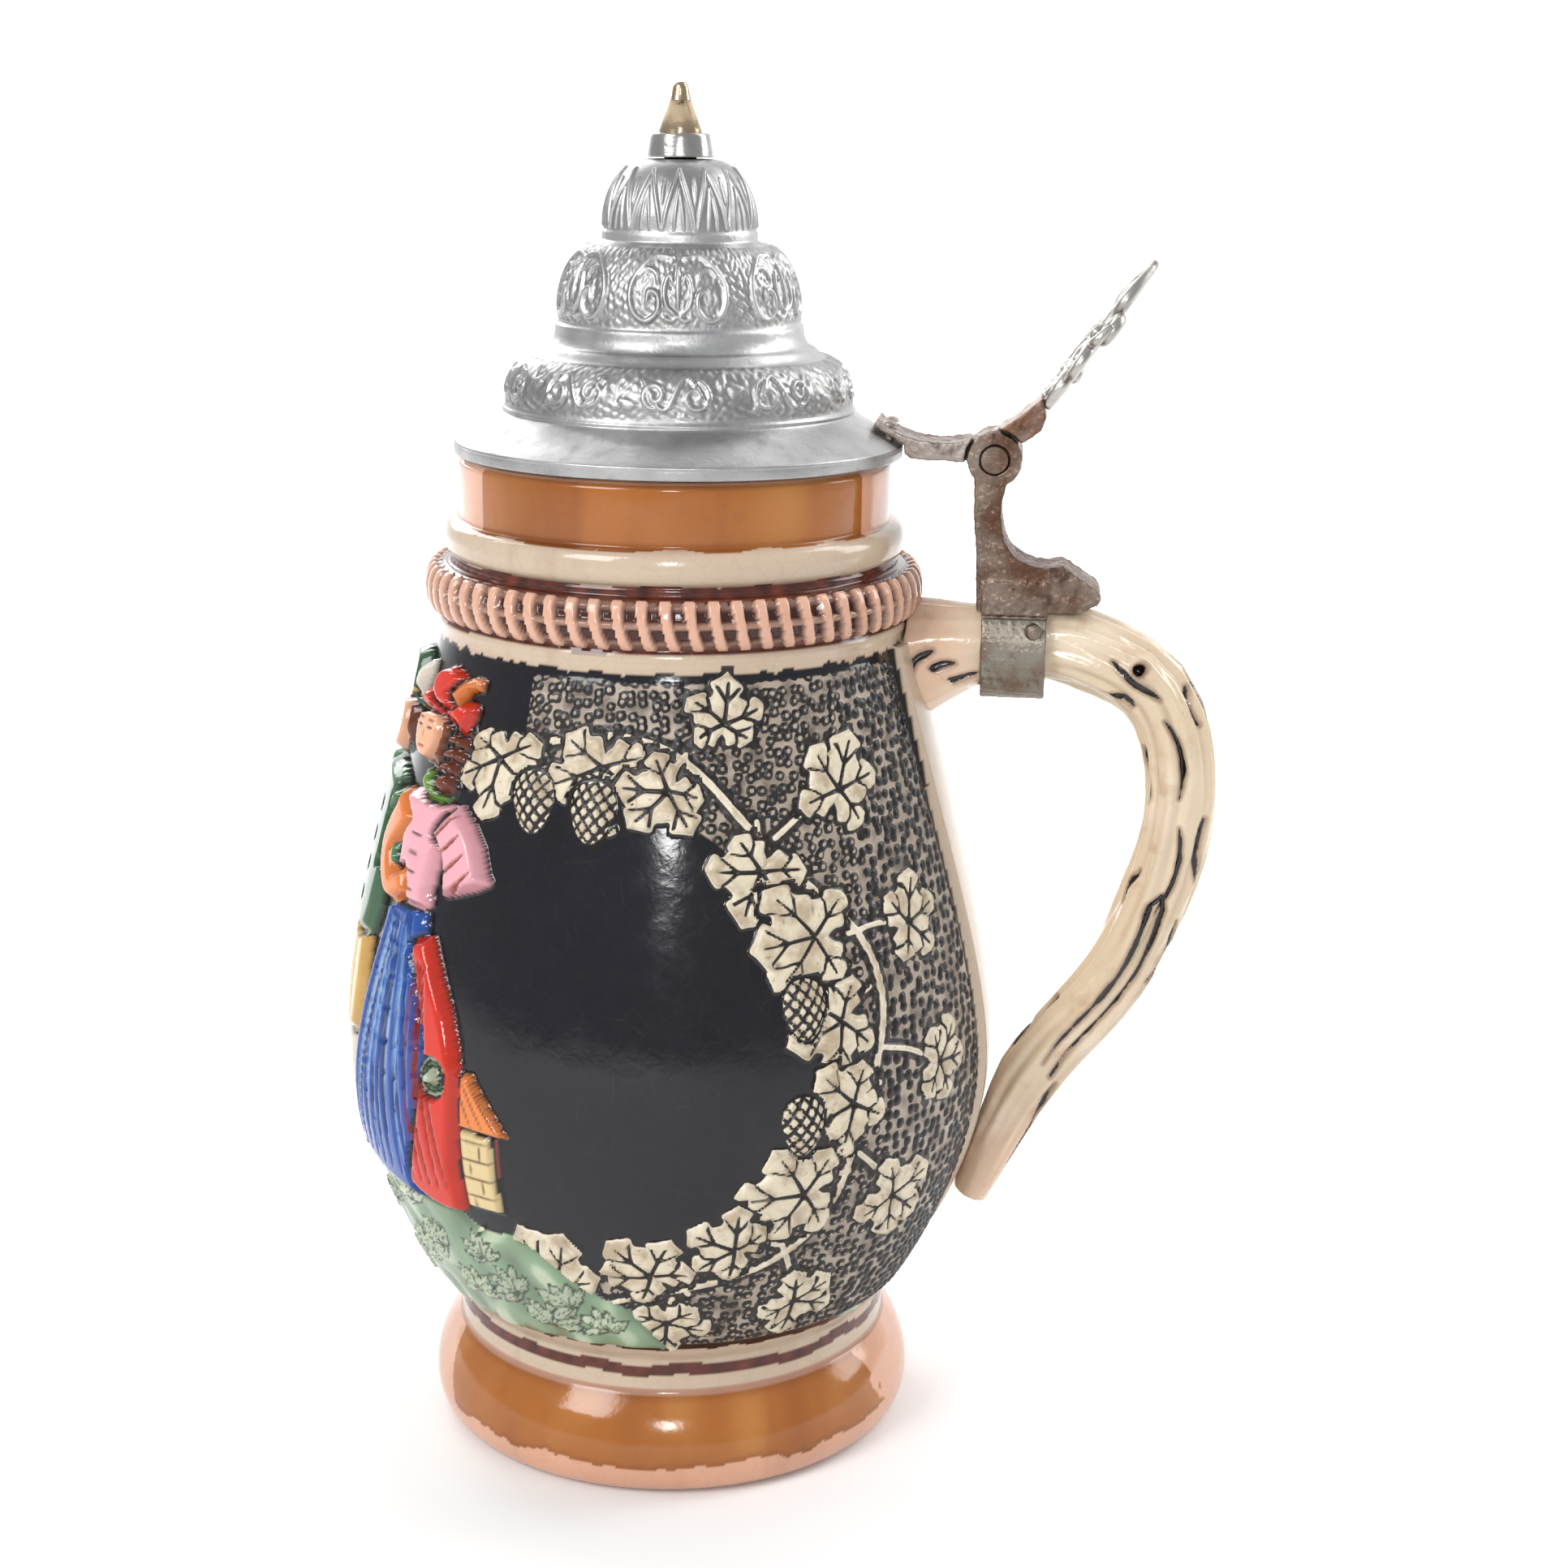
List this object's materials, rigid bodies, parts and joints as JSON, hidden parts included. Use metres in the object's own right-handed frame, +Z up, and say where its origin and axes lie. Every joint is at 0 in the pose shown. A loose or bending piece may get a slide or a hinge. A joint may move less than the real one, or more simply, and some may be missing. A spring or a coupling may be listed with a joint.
{
  "type": "beer stein",
  "caption": "Pear-shaped stoneware beer stein with branch handle, moulded hop-vine relief and a domed metal lid on a strap-mounted thumb-lift hinge.",
  "frame": {"origin": "on the vessel's axis, in the plane of the foot ring it stands on", "axes": "+Z up along the vessel's axis; +X towards the handle; +Y along the lid's hinge axis"},
  "size_m": [0.1336, 0.0998, 0.2098],
  "materials": {
    "relief_glaze": "black-blue glaze over moulded relief, gloss",
    "cream_glaze": "cream glaze with brown-black painted grain, gloss",
    "lid_metal": "cast pewter-like tin alloy, satin, with a polished edge",
    "hinge_metal": "tinned fittings, worn brown",
    "lift_metal": "cast pewter-like openwork, darkened in the hollows",
    "finial_metal": "nickel-tinted brass, polished"
  },
  "bodies": {
    "vessel": {"vessel_body": "relief_glaze", "handle": "cream_glaze", "hinge_tower": "hinge_metal", "handle_strap": "hinge_metal", "hinge_pin": "hinge_metal", "pin_plug_near": "hinge_metal", "pin_plug_far": "hinge_metal", "strap_rivet_near": "hinge_metal", "strap_rivet_far": "hinge_metal"},
    "lid": {"lid_dome": "lid_metal", "lid_arm": "hinge_metal", "thumb_lift": "lift_metal", "arm_rivet_near": "lid_metal", "arm_rivet_far": "lid_metal", "finial": "finial_metal", "finial_collar": "lid_metal", "finial_washer": "lid_metal", "finial_nut": "lid_metal"}
  },
  "joints": [
    {"name": "lid_hinge", "type": "hinge", "parent": "vessel", "child": "lid", "pos_m": [0.0485, 0, 0.156], "axis": [0, 1, 0], "range_deg": [0, 90]}
  ]
}
